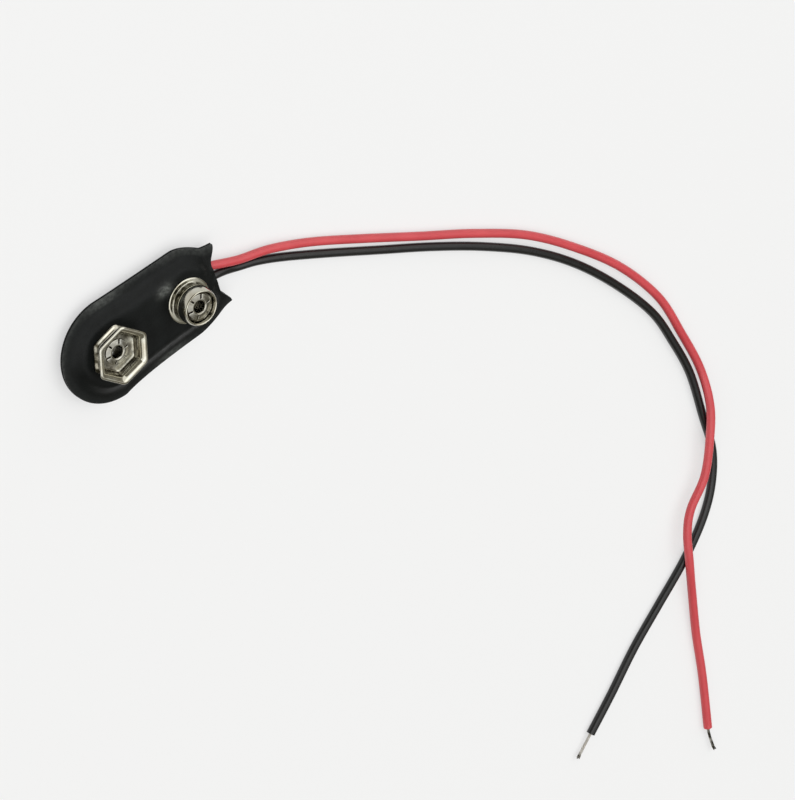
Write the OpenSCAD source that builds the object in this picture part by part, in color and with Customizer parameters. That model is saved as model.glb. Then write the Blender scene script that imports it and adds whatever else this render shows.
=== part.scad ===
// Soft snap connector for a nine volt block battery, with two loose leads.
// Two vinyl skins are welded round their edge over a stiff board. A six-sided
// socket and a round stud are riveted through the upper skin and the board.
// The leads are soldered to the rivets and come out between the two ears of the tail.
// X runs along the pad to the leads, Z is up, and the pad lies on its back at Z = 0.

/* [Pad] */
// Width over the welded edges at the round end
pad_w = 15.7; // [14.6:0.1:18]
// Width over the welded edges beside the stud
stud_w = 13.8; // [13.2:0.1:17]
// Width at the neck, where the ears begin
neck_w = 11.4; // [11:0.1:13]
// Length of the tail, from the stud's axis to the tips of the ears
tail_len = 6.8; // [6.2:0.1:7.5]
// Distance between the tips of the two ears
ear_span = 9.5; // [9:0.1:11]
// How deep the tail's edge is hollowed between the ears
mouth_depth = 1.2; // [0.6:0.1:1.6]
// Thickness of each vinyl skin
skin_t = 0.5; // [0.3:0.05:0.8]
// Width of the flat weld round the edge
weld_w = 1.2; // [0.8:0.1:1.3]
// Width of the rounded shoulder inside the weld
shoulder_w = 2.1; // [1.4:0.1:2.2]
// Thickness of the stiff board under the terminals
board_t = 0.8; // [0.5:0.1:1.2]

/* [Terminals] */
// Distance between the axes of the socket and the stud
pitch = 12.7; // [12.7:0.1:14]
// Largest diameter of the stud's head
stud_d = 5.6; // [5.4:0.05:5.8]
// Height of the stud above the skin
stud_h = 3.2; // [2.9:0.1:3.6]
// Diameter of the stud's foot
foot_d = 6.7; // [6.5:0.1:7]
// Distance across the flats over the socket's rolled rim
socket_flats = 7.75; // [7.5:0.05:8]
// Height of the socket above the skin
socket_h = 2.1; // [1.9:0.1:2.6]
// How much tighter the socket's flats are than the stud's head
snap_grip = 0.1; // [0.05:0.05:0.2]
// Turn of the socket on its rivet, in degrees
socket_turn = 14; // [0:1:30]
// Thickness of the pressed sheet
sheet_t = 0.3; // [0.2:0.05:0.35]
// Bore of the rivets
rivet_bore = 1.7; // [1.4:0.1:1.9]
// Number of petals on a flared rivet
petals = 6; // [4:1:8]

/* [Leads] */
// Diameter over the insulation
lead_d = 1.25; // [1:0.05:1.4]
// Diameter of the stranded core
core_d = 0.5; // [0.3:0.05:0.7]
// Length of the bare end of each lead
bare_len = 4; // [2:0.5:8]

/* [Hidden] */
// Room over and under a lead inside the pad
lead_room = 0.075;
// Room round a rivet in all that it goes through
rivet_room = 0.05;
// Room between the edge of the board and the shoulder
board_room = 0.1;
// Wall of a rivet, and the thickness of its flat head
rivet_t = 0.28;
rivet_r = rivet_bore / 2 + rivet_t;
rivet_hole = rivet_r + rivet_room;
head_r = 1.8;
head_t = 0.25;
petal_r = 1.9;
petal_t = 0.2;
// Least thickness of the weld at its outer edge, as a share of the skin
edge_share = 0.55;
// How far a cut runs past what it cuts
over = 1;

// Heights, from the back of the pad up
lead_r = lead_d / 2;
lead_z = skin_t + lead_room + lead_r;
board_z = skin_t + 2 * lead_room + lead_d;
face_z = board_z + board_t;
top_z = face_z + skin_t;
mouth_z = board_z + 0.1;
weld_z = mix(skin_t, face_z, 0.55);

// Places along the pad, with the middle of its length at X = 0
end_r = pad_w / 2;
pad_len = end_r + pitch + tail_len;
socket_x = end_r - pad_len / 2;
stud_x = socket_x + pitch;
tip_x = pad_len / 2;
tip_y = ear_span / 2;
bend_x = stud_x + 0.5;
bend_y = stud_w / 2;
neck_x = stud_x + 0.575 * tail_len;
mouth_x = tip_x - mouth_depth;
// How much the straight sides close in towards the tail, and how hollow the ears' sides are
taper = (bend_y - end_r) / (bend_x - socket_x);
ear_hollow = 0.26;

function mix(a, b, t) = a + (b - a) * t;
function ease(t) = t <= 0 ? 0 : t >= 1 ? 1 : t * t * (3 - 2 * t);
function bezier(a, b, c, t) = a * (1 - t) * (1 - t) + b * (2 * t * (1 - t)) + c * (t * t);

// The pad's edge on the side of positive Y, from the round end to the tip of an ear
straight_steps = 5;
bend_steps = 6;
ear_steps = 5;
bend_from = [bend_x, bend_y];
bend_by = bend_from + 0.35 * tail_len * [1, taper];
neck = [neck_x, neck_w / 2];
ear_tip = [tip_x, tip_y];
ear_by = (neck + ear_tip) / 2 - [0, ear_hollow];
side = concat(
    [for (i = [1 : straight_steps]) mix([socket_x, end_r], bend_from, i / straight_steps)],
    [for (i = [1 : bend_steps]) bezier(bend_from, bend_by, neck, i / bend_steps)],
    [for (i = [1 : ear_steps]) bezier(neck, ear_by, ear_tip, i / ear_steps)]
);
side_n = len(side);

// Rows run inwards from the edge: one side, the round end, and the other side
round_steps = 24;
row_n = 2 * side_n + round_steps + 1;
function is_round(k) = k >= side_n && k <= side_n + round_steps;
function station(k) = k < side_n ? side_n - k : is_round(k) ? 0 : k - side_n - round_steps;
function round_angle(k) = 270 - 180 * (k - side_n) / round_steps;
function edge_point(k) =
    is_round(k)
    ? [socket_x + end_r * cos(round_angle(k)), end_r * sin(round_angle(k))]
    : [side[station(k) - 1][0], side[station(k) - 1][1] * (k < side_n ? -1 : 1)];
function spine_point(s) = [s == 0 ? socket_x : side[s - 1][0], 0];

// How far each ring of the skin lies inside the edge: the weld, the shoulder and the flat
shoulder_steps = 6;
flat_steps = 3;
flat_from = weld_w + shoulder_w;
ring_n = 3 + shoulder_steps + flat_steps - 1;
function reach(k) = norm(spine_point(station(k)) - edge_point(k));
function inset(k) = concat(
    [0, weld_w / 2, weld_w],
    [for (i = [1 : shoulder_steps]) weld_w + shoulder_w * i / shoulder_steps],
    [for (i = [1 : flat_steps - 1]) mix(flat_from, reach(k), i / flat_steps)]
);
function rise(d) = ease((d - weld_w) / shoulder_w);
function thick(d) = skin_t * mix(edge_share, 1, min(1, d / weld_w));

// The tail's edge is drawn back between the ears
function tail_share(x) = max(0, (x - bend_x) / (tip_x - bend_x));
function drawn(p, edge_y) =
    let (back = mouth_depth * pow(tail_share(p[0]), 2))
    [p[0] - back * (1 - pow(p[1] / edge_y, 2)), p[1]];
function row_point(k, d) =
    let (e = edge_point(k), s = spine_point(station(k)))
    let (p = e + (s - e) * (d / norm(s - e)))
    is_round(k) ? p : drawn(p, abs(e[1]));
function spine_place(s) = s == 0 ? [socket_x, 0] : drawn(spine_point(s), 1);

// The upper skin falls from the board to the leads at the mouth
fall_from = stud_x + foot_d / 2 - 0.15;
fall_to = tip_x - 0.4;
function face_at(x) = mix(face_z, mouth_z, ease((x - fall_from) / (fall_to - fall_from)));
function upper_in(x, d) = mix(weld_z, face_at(x), rise(d));
function lower_in(x, d) = mix(weld_z, skin_t, rise(d));

// Faces of a skin whose points are one upper and one lower layer
layer_n = row_n * ring_n + side_n + 1;
function at(k, j) = j < ring_n ? k * ring_n + j : row_n * ring_n + station(k);
function split(q) = [[q[0], q[1], q[2]], [q[0], q[2], q[3]]];
function strip(k, j) =
    j == ring_n - 1 && station(k) == station(k + 1)
    ? [[at(k, j), at(k + 1, j), at(k, ring_n)]]
    : split([at(k, j), at(k + 1, j), at(k + 1, j + 1), at(k, j + 1)]);
upper_faces = [for (k = [0 : row_n - 2]) for (j = [0 : ring_n - 1]) for (f = strip(k, j)) f];
lower_faces = [for (f = upper_faces) [f[2] + layer_n, f[1] + layer_n, f[0] + layer_n]];
rim_faces = [
    for (k = [0 : row_n - 2])
    for (f = split([at(k, 0), at(k, 0) + layer_n, at(k + 1, 0) + layer_n, at(k + 1, 0)])) f
];
function tail_quad(p, q) = split([p, q, q + layer_n, p + layer_n]);
tail_faces = [
    for (j = [0 : ring_n - 1])
    for (f = concat(
        tail_quad(at(0, j), at(0, j + 1)),
        tail_quad(at(row_n - 1, j + 1), at(row_n - 1, j))
    )) f
];
skin_faces = concat(upper_faces, lower_faces, rim_faces, tail_faces);

// The places of a skin's points, each with its inset from the edge and its row's X
function skin_places() = concat(
    [
        for (k = [0 : row_n - 1]) for (d = inset(k))
        let (p = row_point(k, d)) [p[0], p[1], d, edge_point(k)[0]]
    ],
    [for (s = [0 : side_n]) let (p = spine_place(s)) [p[0], p[1], end_r, spine_point(s)[0]]]
);
places = skin_places();

module skin(upper) {
    inner = [for (p = places) upper ? upper_in(p[3], p[2]) : lower_in(p[3], p[2])];
    up = [for (i = [0 : len(places) - 1]) inner[i] + (upper ? thick(places[i][2]) : 0)];
    down = [for (i = [0 : len(places) - 1]) inner[i] - (upper ? 0 : thick(places[i][2]))];
    polyhedron(
        points = concat(
            [for (i = [0 : len(places) - 1]) [places[i][0], places[i][1], up[i]]],
            [for (i = [0 : len(places) - 1]) [places[i][0], places[i][1], down[i]]]
        ),
        faces = skin_faces
    );
}

// A closed profile carried round a hexagon with rounded corners.
// Each profile point is half the distance across flats, the corner radius and the height.
corner_steps = 7;
function hex_ring(half, corner, z) = [
    for (c = [0 : 5]) for (i = [0 : corner_steps - 1])
    let (
        mid = socket_turn + 60 * c,
        turn = mid - 30 + 60 * i / (corner_steps - 1),
        out = max(0, half - corner) / cos(30)
    )
    [out * cos(mid) + corner * cos(turn), out * sin(mid) + corner * sin(turn), z]
];
module hex_loft(profile) {
    n = 6 * corner_steps;
    m = len(profile);
    polyhedron(
        points = [for (p = profile) for (q = hex_ring(p[0], p[1], p[2])) q],
        faces = [
            for (j = [0 : m - 1]) for (i = [0 : n - 1])
            let (a = j * n + i, b = j * n + (i + 1) % n)
            let (c = ((j + 1) % m) * n + (i + 1) % n, d = ((j + 1) % m) * n + i)
            for (f = split([a, d, c, b])) f
        ]
    );
}

// The sheet of the socket, from the edge of its floor round the rolled rim and back
grip = (stud_d - snap_grip) / 2;
rim = socket_flats / 2;
socket_profile = [
    [rivet_hole, rivet_hole, 0],
    [rim - 0.42, 0.7, 0],
    [rim - 0.32, 0.8, 0.08],
    [rim - 0.32, 0.8, 0.18],
    [rim - 0.4, 0.75, sheet_t],
    [grip + sheet_t + 0.15, 0.7, sheet_t + 0.2],
    [grip + sheet_t + 0.02, 0.7, 0.4 * socket_h],
    [grip + sheet_t + 0.02, 0.7, 0.58 * socket_h],
    [grip + sheet_t + 0.2, 0.75, socket_h - 0.5],
    [rim - 0.08, 0.85, socket_h - 0.36],
    [rim, 0.9, socket_h - 0.2],
    [rim - 0.08, 0.85, socket_h - 0.05],
    [rim - 0.24, 0.75, socket_h],
    [rim - 0.42, 0.65, socket_h - 0.06],
    [grip + 0.2, 0.55, socket_h - 0.4],
    [grip + 0.02, 0.45, 0.58 * socket_h],
    [grip, 0.45, 0.32 * socket_h],
    [grip + 0.06, 0.5, sheet_t + 0.2],
    [grip - 0.12, 0.5, sheet_t],
    [rivet_hole, rivet_hole, sheet_t]
];

// The sheet of the stud, drawn to a cap with a rolled crown and a dished top
head = stud_d / 2;
foot = foot_d / 2;
waist = head - 0.25;
crown = head - 0.32;
dish_r = head - 0.65;
dish_z = stud_h - 0.75;
stud_profile = [
    [foot - 0.1, 0],
    [foot, 0.1],
    [foot, sheet_t - 0.08],
    [foot - 0.1, sheet_t],
    [waist + 0.3, sheet_t],
    [waist + 0.09, sheet_t + 0.09],
    [waist, sheet_t + 0.3],
    [waist, 0.32 * stud_h],
    [waist + 0.06, 0.37 * stud_h],
    [head - 0.06, 0.44 * stud_h],
    [head, 0.5 * stud_h],
    [head, 0.62 * stud_h],
    [head - 0.03, 0.72 * stud_h],
    [head - 0.09, 0.82 * stud_h],
    [head - 0.18, 0.92 * stud_h],
    [crown + 0.05, stud_h - 0.04],
    [crown - 0.04, stud_h],
    [crown - 0.14, stud_h - 0.04],
    [crown - 0.22, stud_h - 0.14],
    [dish_r + 0.06, dish_z + 0.25],
    [dish_r - 0.02, dish_z + 0.06],
    [dish_r - 0.12, dish_z],
    [rivet_hole, dish_z],
    [rivet_hole, dish_z - sheet_t],
    [dish_r, dish_z - sheet_t],
    [head - sheet_t - 0.1, dish_z - sheet_t + 0.1],
    [head - sheet_t, dish_z - sheet_t - 0.1],
    [head - sheet_t, 0.52 * stud_h],
    [waist - sheet_t, 0.36 * stud_h],
    [waist - sheet_t, sheet_t + 0.25],
    [waist - sheet_t + 0.2, 0]
];

// A hollow rivet with a flat head below and split petals spread above
module rivet(top) {
    bore = rivet_bore / 2;
    difference() {
        rotate_extrude($fn = 48)
            polygon([
                [bore, board_z - head_t],
                [head_r, board_z - head_t],
                [head_r, board_z],
                [rivet_r, board_z],
                [rivet_r, top],
                [petal_r, top],
                [petal_r, top + petal_t * 0.6],
                [petal_r - 0.12, top + petal_t],
                [rivet_r + 0.15, top + petal_t],
                [rivet_r - 0.05, top + petal_t + 0.1],
                [bore + 0.06, top + petal_t + 0.06],
                [bore, top + petal_t - 0.05]
            ]);
        for (i = [0 : petals - 1])
            rotate([0, 0, 360 / petals * i])
                translate([rivet_r + 0.12, -0.1, top - 0.2])
                    cube([1.2, 0.2, 1]);
    }
}

// The first points of each lead lie inside the pad, and the rest lie on the floor.
// The third number of a floor point is how far it is lifted, in lead diameters.
red_start = [socket_x + 2.5, 1, lead_z];
black_start = [stud_x + 2.5, -0.5, lead_z];
red_route = concat(
    [
        red_start,
        [socket_x + 7, 2.8, lead_z],
        [stud_x - 0.6, 3.1, lead_z],
        [stud_x + 2.7, 2.2, lead_z],
        [mouth_x + 0.4, 1, lead_z]
    ],
    [
        for (p = [
            [3.2, -0.75, 0.45],
            [8.5, -2.6, 0.25],
            [15.2, -6.1, 0],
            [22.5, -10.6, 0],
            [30.5, -15.7, 0],
            [38.3, -20.6, 0],
            [46, -26.2, 0],
            [52.4, -32.8, 0],
            [58.1, -40.2, 0],
            [62.2, -48.4, 0],
            [63.8, -55.9, 0],
            [64.8, -63, 0.1],
            [63.9, -68.5, 1],
            [62.1, -73.3, 1.15],
            [59.5, -78.5, 1],
            [55.8, -81.9, 1],
            [54, -85, 1.1],
            [52.8, -89.4, 1.2],
            [52.1, -94.8, 0.5],
            [50.7, -103.1, 0],
            [49.7, -109, 0],
            [47.9, -117.3, 0]
        ])
        [tip_x + p[0], p[1], lead_r + lead_d * p[2]]
    ]
);
black_route = concat(
    [
        black_start,
        [mouth_x + 0.4, -0.6, lead_z]
    ],
    [
        for (p = [
            [2.8, -2],
            [6.1, -3.2],
            [10.2, -5.3],
            [16.8, -9.2],
            [24.1, -13.7],
            [31.4, -18.2],
            [38.6, -23.1],
            [45.7, -28.8],
            [51.6, -35.1],
            [56.6, -42.4],
            [60.5, -50],
            [62.1, -56.3],
            [63.1, -62.8],
            [62.9, -70.3],
            [62.6, -76.4],
            [60.7, -81.5],
            [57.6, -85.7],
            [52.8, -89.8],
            [46.6, -93.8],
            [40.9, -97.5],
            [35.2, -101.9],
            [30.1, -105.6]
        ])
        [tip_x + p[0], p[1], lead_r]
    ]
);

// A round tube of eight sides along a smooth curve through the route's points
sides = 8;
function unit(v) = v / norm(v);
function slope(r, i) = (r[min(i + 1, len(r) - 1)] - r[max(i - 1, 0)]) / (i == 0 || i == len(r) - 1 ? 1 : 2);
function curve(a, b, u, v, t) =
    a * (2 * pow(t, 3) - 3 * t * t + 1) + u * (pow(t, 3) - 2 * t * t + t)
    + b * (3 * t * t - 2 * pow(t, 3)) + v * (pow(t, 3) - t * t);
function smooth(r) = concat(
    [
        for (i = [0 : len(r) - 2]) for (t = [0, 0.5])
        curve(r[i], r[i + 1], slope(r, i), slope(r, i + 1), t)
    ],
    [r[len(r) - 1]]
);
function tube_ring(line, i, radius) =
    let (n = len(line) - 1)
    let (ahead = unit(line[min(i + 1, n)] - line[max(i - 1, 0)]))
    let (across = unit(cross(ahead, [0, 0, 1])))
    let (above = cross(across, ahead))
    [
        for (s = [0 : sides - 1])
        let (turn = 360 * (s + 0.5) / sides)
        line[i] + across * (radius * cos(turn)) + above * (radius * sin(turn))
    ];
module tube(route, radius) {
    line = smooth(route);
    n = len(line);
    polyhedron(
        points = [for (i = [0 : n - 1]) for (p = tube_ring(line, i, radius)) p],
        faces = concat(
            [[for (s = [0 : sides - 1]) s]],
            [[for (s = [0 : sides - 1]) n * sides - 1 - s]],
            [
                for (i = [0 : n - 2]) for (s = [0 : sides - 1])
                let (a = i * sides + s, b = i * sides + (s + 1) % sides)
                for (f = split([a, a + sides, b + sides, b])) f
            ]
        )
    );
}

// A straight core from one point towards another
module core(from, to, length) {
    ahead = to - from;
    translate(from)
        rotate([0, acos(ahead[2] / norm(ahead)), atan2(ahead[1], ahead[0])])
            cylinder(d = core_d, h = length, $fn = 24);
}
function last(r) = r[len(r) - 1];
function start_way(r) = let (s = smooth(r)) s[1] - s[0];
function end_way(r) = let (s = smooth(r)) last(s) - s[len(s) - 2];

module solder_drop(x) {
    reach = 1.35;
    low = lead_z - core_d / 2 - 0.12;
    high = board_z - head_t;
    translate([x, 0, 0])
        rotate_extrude($fn = 48)
            polygon([
                [0, high],
                [reach, high],
                [reach * 0.97, mix(high, low, 0.25)],
                [reach * 0.85, mix(high, low, 0.55)],
                [reach * 0.6, mix(high, low, 0.85)],
                [reach * 0.3, mix(high, low, 0.97)],
                [0, low]
            ]);
}

module top_cover() {
    color("#1d2022")
        difference() {
            skin(true);
            for (x = [socket_x, stud_x])
                translate([x, 0, face_z - over])
                    cylinder(r = rivet_hole, h = skin_t + 2 * over, $fn = 48);
        }
}

module back_cover() {
    color("#1a1c1e")
        skin(false);
}

module board() {
    half = end_r - flat_from - board_room;
    nose_x = bend_x - 0.8;
    nose_half = half + taper * (nose_x - socket_x);
    board_x = stud_x + head_r + 0.6;
    color("#6b4a2f")
        translate([0, 0, board_z])
            linear_extrude(board_t)
                difference() {
                    intersection() {
                        union() {
                            translate([socket_x, 0])
                                circle(r = half, $fn = 96);
                            polygon([
                                [socket_x, -half],
                                [nose_x, -nose_half],
                                [nose_x, nose_half],
                                [socket_x, half]
                            ]);
                            translate([nose_x, 0])
                                circle(r = nose_half, $fn = 96);
                        }
                        translate([socket_x - half - over, -half - over])
                            square([board_x - socket_x + half + over, 2 * (half + over)]);
                    }
                    for (x = [socket_x, stud_x])
                        translate([x, 0])
                            circle(r = rivet_hole, $fn = 48);
                }
}

module socket_shell() {
    color("#cdc6b8")
        translate([socket_x, 0, top_z])
            hex_loft(socket_profile);
}

module socket_rivet() {
    color("#bfb8aa")
        translate([socket_x, 0, 0])
            rivet(top_z + sheet_t);
}

module stud_shell() {
    color("#cdc6b8")
        translate([stud_x, 0, top_z])
            rotate_extrude($fn = 96)
                polygon(stud_profile);
}

module stud_rivet() {
    color("#bfb8aa")
        translate([stud_x, 0, 0])
            rivet(top_z + dish_z);
}

module red_solder() {
    color("#a9abad")
        difference() {
            solder_drop(socket_x);
            red_joint_core();
        }
}

module black_solder() {
    color("#a9abad")
        difference() {
            solder_drop(stud_x);
            black_joint_core();
        }
}

module red_joint_core() {
    color("#b9b3a8")
        core(red_start, red_start - start_way(red_route), norm(red_start - [socket_x, 0, lead_z]));
}

module black_joint_core() {
    color("#b9b3a8")
        core(black_start, black_start - start_way(black_route), norm(black_start - [stud_x, 0, lead_z]));
}

module red_lead() {
    color("#c8201f")
        tube(red_route, lead_r);
}

module black_lead() {
    color("#1b1b1d")
        tube(black_route, lead_r);
}

module red_bare_end() {
    end = last(red_route);
    color("#b9b3a8")
        core(end, end + end_way(red_route), bare_len);
}

module black_bare_end() {
    end = last(black_route);
    color("#b9b3a8")
        core(end, end + end_way(black_route), bare_len);
}

top_cover();
back_cover();
board();
socket_shell();
socket_rivet();
stud_shell();
stud_rivet();
red_solder();
black_solder();
red_joint_core();
black_joint_core();
red_lead();
black_lead();
red_bare_end();
black_bare_end();
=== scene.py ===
import math

import bpy
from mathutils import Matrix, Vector, noise


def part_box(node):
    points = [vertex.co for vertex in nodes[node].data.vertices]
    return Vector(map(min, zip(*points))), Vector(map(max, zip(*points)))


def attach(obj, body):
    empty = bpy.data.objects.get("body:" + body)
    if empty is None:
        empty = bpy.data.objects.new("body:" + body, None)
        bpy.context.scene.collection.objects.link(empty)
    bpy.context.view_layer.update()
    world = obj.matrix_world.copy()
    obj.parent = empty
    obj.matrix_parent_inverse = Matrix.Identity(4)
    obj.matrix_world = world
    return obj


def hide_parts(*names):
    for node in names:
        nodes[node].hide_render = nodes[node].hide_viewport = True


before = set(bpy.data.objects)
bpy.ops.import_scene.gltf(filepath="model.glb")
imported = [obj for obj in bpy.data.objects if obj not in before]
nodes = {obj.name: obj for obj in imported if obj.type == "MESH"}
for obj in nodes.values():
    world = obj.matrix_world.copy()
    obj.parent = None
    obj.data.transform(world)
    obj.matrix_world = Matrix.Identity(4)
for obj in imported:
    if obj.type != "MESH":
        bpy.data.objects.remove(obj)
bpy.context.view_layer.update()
scene = bpy.context.scene
MM = 0.001

# Less than this is no distance
HAIR = 0.01

# Small sums


def mix(a, b, share):
    return a + (b - a) * share


def ease(share):
    """Runs softly from nothing to one, and stays level outside that range."""
    share = min(1, max(0, share))
    return share * share * (3 - 2 * share)


def band(value, low, high, blur):
    """One inside a range and falling to nothing outside it."""
    return ease((value - low) / blur + 1) * ease((high - value) / blur + 1)


def bell(offset, width):
    """One in the middle and fading away on both sides."""
    return math.exp(-((offset / width) ** 2))


# The camera of the photograph

CAMERA_PLACE = (-615.729, 1025.412, 1339.538)
CAMERA_TURN = (-25.4309, -35.801, -19.492)


def photo_camera():
    data = bpy.data.cameras.new("photo_camera")
    data.lens = 600
    data.sensor_width = 36
    data.clip_end = 20
    camera = bpy.data.objects.new("photo_camera", data)
    scene.collection.objects.link(camera)
    camera.location = Vector(CAMERA_PLACE) * MM
    camera.rotation_euler = [math.radians(a) for a in CAMERA_TURN]
    scene.camera = camera


photo_camera()

# The two leads

LEAD_R = 0.625
LEAD_Z = 1.2

# Points of each lead from its solder to its bare end: X, Y and how many diameters it is lifted
RED_INSIDE = [(-3.325, 1.0), (1.175, 2.8), (6.275, 3.1), (9.575, 2.2), (12.875, 1.0)]
RED_OUTSIDE = [
    (16.875, -0.75, 0.45), (22.175, -2.6, 0.25), (28.875, -6.1, 0), (36.175, -10.6, 0),
    (44.175, -15.7, 0), (51.975, -20.6, 0), (59.675, -26.2, 0), (66.075, -32.8, 0),
    (71.775, -40.2, 0), (75.875, -48.4, 0), (77.475, -55.9, 0), (78.475, -63, 0.1),
    (77.575, -68.5, 1), (75.775, -73.3, 1.15), (73.175, -78.5, 1), (69.475, -81.9, 1),
    (67.675, -85, 1.1), (66.475, -89.4, 1.2), (65.775, -94.8, 0.5), (64.375, -103.1, 0),
    (63.375, -109, 0), (61.575, -117.3, 0),
]
BLACK_INSIDE = [(9.375, -0.5), (12.875, -0.6)]
BLACK_OUTSIDE = [
    (16.475, -2, 0), (19.775, -3.2, 0), (23.875, -5.3, 0), (30.475, -9.2, 0),
    (37.775, -13.7, 0), (45.075, -18.2, 0), (52.275, -23.1, 0), (59.375, -28.8, 0),
    (65.275, -35.1, 0), (70.275, -42.4, 0), (74.175, -50, 0), (75.775, -56.3, 0),
    (76.775, -62.8, 0), (76.575, -70.3, 0), (76.275, -76.4, 0), (74.375, -81.5, 0),
    (71.275, -85.7, 0), (66.475, -89.8, 0), (60.275, -93.8, 0), (54.575, -97.5, 0),
    (48.875, -101.9, 0), (43.775, -105.6, 0),
]


def lead_route(inside, outside):
    """The middle of a lead, held level inside the pad and loose outside it."""
    held = [Vector((x, y, LEAD_Z)) for x, y in inside]
    loose = [Vector((x, y, LEAD_R * (1 + 2 * lift))) for x, y, lift in outside]
    return [point * MM for point in held + loose]


def route_slopes(route):
    """How the curve runs through each point, level where the lead lies on the table."""
    slopes = [(after - before) / 2 for before, after in zip(route, route[2:])]
    slopes = [route[1] - route[0], *slopes, route[-1] - route[-2]]
    for slope, place in zip(slopes, route):
        if place.z < (LEAD_R + HAIR) * MM:
            slope.z = 0
    return slopes


def insulated_lead(name, route):
    """A round lead on one smooth curve through the points of its route."""
    data = bpy.data.curves.new(name, "CURVE")
    data.dimensions = "3D"
    data.bevel_depth = LEAD_R * MM
    data.bevel_resolution = 7
    data.resolution_u = 10
    data.use_fill_caps = True
    line = data.splines.new("BEZIER")
    line.bezier_points.add(len(route) - 1)
    for point, place, slope in zip(line.bezier_points, route, route_slopes(route)):
        point.handle_left_type = point.handle_right_type = "FREE"
        point.co = place
        point.handle_left = place - slope / 3
        point.handle_right = place + slope / 3
    lead = bpy.data.objects.new(name, data)
    scene.collection.objects.link(lead)
    return lead


def end_direction(route):
    """The way a lead points at its bare end."""
    slopes = route_slopes(route)
    middle = (route[-2] + route[-1]) / 2 + (slopes[-2] - slopes[-1]) / 8
    return (route[-1] - middle).normalized()


red_route = lead_route(RED_INSIDE, RED_OUTSIDE)
black_route = lead_route(BLACK_INSIDE, BLACK_OUTSIDE)
red_lead = insulated_lead("red_insulated_lead", red_route)
black_lead = insulated_lead("black_insulated_lead", black_route)

# Hand tools


def take(piece):
    """Selects one piece alone."""
    bpy.ops.object.select_all(action="DESELECT")
    piece.select_set(True)
    bpy.context.view_layer.objects.active = piece


def finish_with(piece, kind, **settings):
    """Adds a modifier with these settings and applies it."""
    take(piece)
    modifier = piece.modifiers.new(kind.lower(), kind)
    for key, value in settings.items():
        setattr(modifier, key, value)
    bpy.ops.object.modifier_apply(modifier=modifier.name)


def subdivide_smooth(piece, levels=1, **settings):
    finish_with(piece, "SUBSURF", levels=levels, render_levels=levels, **settings)


def first_ring(name, sides, size, axis, height, corner=0.0, turn=0.0):
    """Starts a pressed piece as one ring round its axis, and leaves the ring selected."""
    bpy.ops.object.select_all(action="DESELECT")
    bpy.ops.mesh.primitive_circle_add(
        vertices=sides,
        radius=size * MM,
        fill_type="NGON",
        location=(axis.x, axis.y, height * MM),
        rotation=(0, 0, math.radians(turn)),
    )
    piece = bpy.context.object
    piece.name = piece.data.name = name
    bpy.ops.object.transform_apply(location=True, rotation=True, scale=True)
    bpy.ops.object.mode_set(mode="EDIT")
    bpy.ops.mesh.select_mode(type="VERT")
    bpy.ops.mesh.select_all(action="SELECT")
    if corner:
        bpy.ops.mesh.bevel(offset=corner * MM, segments=6, affect="VERTICES")
        bpy.ops.mesh.select_all(action="SELECT")
    bpy.ops.mesh.delete(type="ONLY_FACE")
    bpy.ops.mesh.select_mode(type="EDGE")
    bpy.ops.mesh.select_all(action="SELECT")
    return piece


def draw_ring(axis, steps):
    """Draws the selected ring on through steps of size and height, and rounds it where a step says so."""
    size, height = steps[0][:2]
    for step in steps[1:]:
        bpy.ops.mesh.extrude_edges_move(
            TRANSFORM_OT_translate={"value": (0, 0, (step[1] - height) * MM)}
        )
        scale = step[0] / size
        centre = (axis.x, axis.y, step[1] * MM)
        bpy.ops.transform.resize(value=(scale, scale, 1), center_override=centre)
        if len(step) > 2:
            bpy.ops.transform.tosphere(value=step[2])
        size, height = step[:2]


def pick_edges(piece, wanted):
    """Selects the edges whose middle passes the test."""
    bpy.ops.object.mode_set(mode="OBJECT")
    mesh = piece.data
    for part in (mesh.vertices, mesh.edges, mesh.polygons):
        part.foreach_set("select", [False] * len(part))
    for edge in mesh.edges:
        a, b = (mesh.vertices[i].co for i in edge.vertices)
        edge.select = wanted((a + b) / 2)
    bpy.ops.object.mode_set(mode="EDIT")


def face_outwards(piece, outwards):
    """Turns the faces of a sheet to the side that the test calls outwards."""
    take(piece)
    bpy.ops.object.mode_set(mode="EDIT")
    bpy.ops.mesh.select_all(action="SELECT")
    bpy.ops.mesh.normals_make_consistent(inside=False)
    bpy.ops.object.mode_set(mode="OBJECT")
    if sum(outwards(face) for face in piece.data.polygons) < 0:
        bpy.ops.object.mode_set(mode="EDIT")
        bpy.ops.mesh.select_all(action="SELECT")
        bpy.ops.mesh.flip_normals()
        bpy.ops.object.mode_set(mode="OBJECT")


def shade_round(piece, angle=40):
    take(piece)
    bpy.ops.object.shade_smooth_by_angle(angle=math.radians(angle))


def keep_on_points(piece, name, values):
    """Keeps one value on each point, for the piece's material to read."""
    kept = piece.data.attributes.new(name, "FLOAT", "POINT")
    kept.data.foreach_set("value", values)


def mark_stain_and_shade(piece, share):
    """Keeps on each point how dark its metal is made: tarnish on the bare ends, painted shade on the socket,
    stud and rivets.
    """
    keep_on_points(piece, "stain_and_shade", [share(vertex.co) for vertex in piece.data.vertices])


def from_axis(place, axis):
    """How far a place lies from an axis and how high above the skin, in millimetres."""
    return math.hypot(place.x - axis.x, place.y - axis.y) / MM, place.z / MM - SKIN_TOP


def middle_of(node):
    low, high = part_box(node)
    return (low + high) / 2


socket_axis = middle_of("socket_shell")
stud_axis = middle_of("stud_shell")
SKIN_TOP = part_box("socket_shell")[0].z / MM

# The six-sided socket

SOCKET_TURN = 14
SOCKET_FLOOR = 0.3
RIVET_HOLE = 1.2
CORNER_SHARE = 0.127
# Painted shade: how dark the cup, its corners and one side of the outer wall are, and the turn that side
# faces
CUP_SHADE = 0.42
CUP_CORNER_SHADE = 0.1
WALL_SHADE = 0.8
SHADED_WALL_TURN = math.radians(165)

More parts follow.
